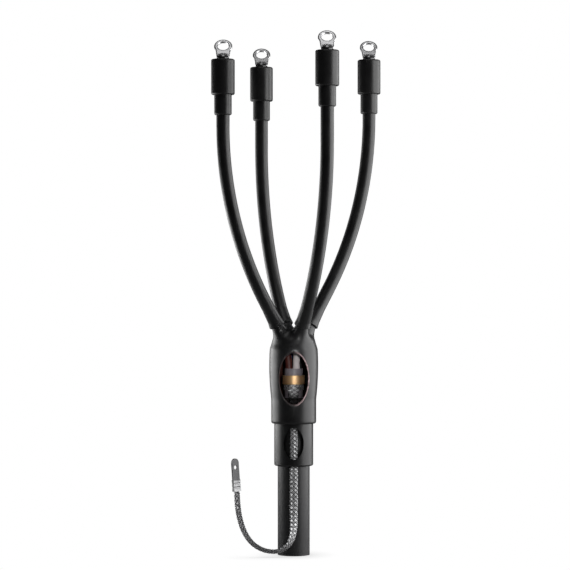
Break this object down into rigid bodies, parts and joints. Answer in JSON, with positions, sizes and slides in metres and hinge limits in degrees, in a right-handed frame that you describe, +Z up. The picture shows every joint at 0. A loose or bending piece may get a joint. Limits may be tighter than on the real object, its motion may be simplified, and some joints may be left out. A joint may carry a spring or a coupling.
{
  "type": "cable termination",
  "caption": "Heat-shrink breakout termination of a multi-core low-voltage cable: curved insulated legs with angled tinned lugs, windowed boot and cuff, and a flat earth braid.",
  "frame": {"origin": "on the cable axis, at the cut lower end of the cable", "axes": "+Z up along the cable towards the lugs, -Y to the front, where the windows and the braid are"},
  "size_m": [0.1699, 0.1505, 0.5195],
  "materials": {
    "heat_shrink": "satin",
    "sheath": "satin",
    "bedding": "matte",
    "mastic": "matte",
    "adhesive": "satin",
    "binder": "satin",
    "core_black": "satin",
    "core_blue": "satin",
    "core_brown": "satin",
    "core_grey": "satin",
    "copper": "polished",
    "braid": "woven",
    "tinned": "bright",
    "steel_tape": "dull"
  },
  "bodies": {
    "root": {"outer_sheath": "sheath", "armour_tape": "steel_tape", "inner_sheath": "bedding", "binder_tape": "binder", "roll_spring": "copper", "braid_strap": "braid", "sealing_mastic": "mastic", "belt_cuff": "heat_shrink", "breakout_boot": "heat_shrink", "adhesive_lining": "adhesive", "earth_braid": "braid", "braid_lug": "tinned", "conductor_1": "copper", "core_insulation_1": "core_black", "core_tube_1": "heat_shrink", "barrel_sleeve_1": "heat_shrink", "lug_sleeve_1": "heat_shrink", "lug_1": "tinned", "conductor_2": "copper", "core_insulation_2": "core_blue", "core_tube_2": "heat_shrink", "barrel_sleeve_2": "heat_shrink", "lug_sleeve_2": "heat_shrink", "lug_2": "tinned", "conductor_3": "copper", "core_insulation_3": "core_brown", "core_tube_3": "heat_shrink", "barrel_sleeve_3": "heat_shrink", "lug_sleeve_3": "heat_shrink", "lug_3": "tinned", "conductor_4": "copper", "core_insulation_4": "core_grey", "core_tube_4": "heat_shrink", "barrel_sleeve_4": "heat_shrink", "lug_sleeve_4": "heat_shrink", "lug_4": "tinned"}
  },
  "joints": []
}
